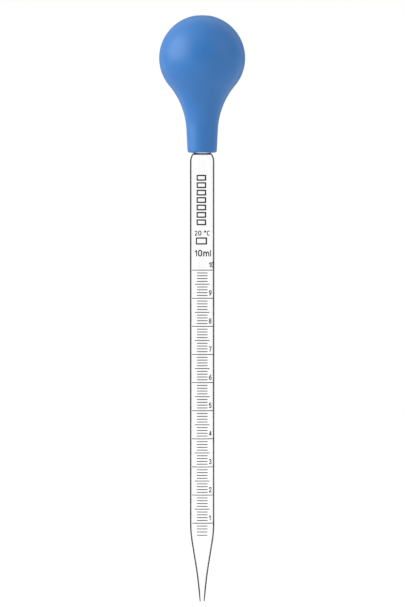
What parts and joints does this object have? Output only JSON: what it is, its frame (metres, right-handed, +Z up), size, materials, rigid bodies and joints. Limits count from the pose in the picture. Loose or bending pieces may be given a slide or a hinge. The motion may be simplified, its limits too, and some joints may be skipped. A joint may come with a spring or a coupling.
{
  "type": "graduated pipette",
  "caption": "Graduated glass dropping pipette with a drawn tip, a fired black volume scale and a blue rubber squeeze bulb that pulls off its neck.",
  "frame": {"origin": "centre of the tip's orifice, the lowest point of the pipette", "axes": "+Z up the tube's axis from the tip to the bulb; the printed scale faces -Y; +X is to the right of the scale as it is read"},
  "size_m": [0.0404, 0.0404, 0.2768],
  "materials": {
    "clear_glass": "clear, fire-polished borosilicate glass",
    "blue_rubber": "satin moulded rubber",
    "black_enamel": "fired black enamel"
  },
  "bodies": {
    "tube": {"glass_tube": "clear_glass", "millilitre_lines": "black_enamel", "half_millilitre_lines": "black_enamel", "tenth_millilitre_lines": "black_enamel", "scale_numerals": "black_enamel", "capacity_print": "black_enamel", "temperature_print": "black_enamel", "class_panel": "black_enamel", "name_field": "black_enamel"},
    "bulb": {"rubber_bulb": "blue_rubber"}
  },
  "joints": [
    {"name": "bulb_pull_off", "type": "slide", "parent": "tube", "child": "bulb", "axis": [0, 0, 1], "range_m": [0, 0.02]}
  ]
}
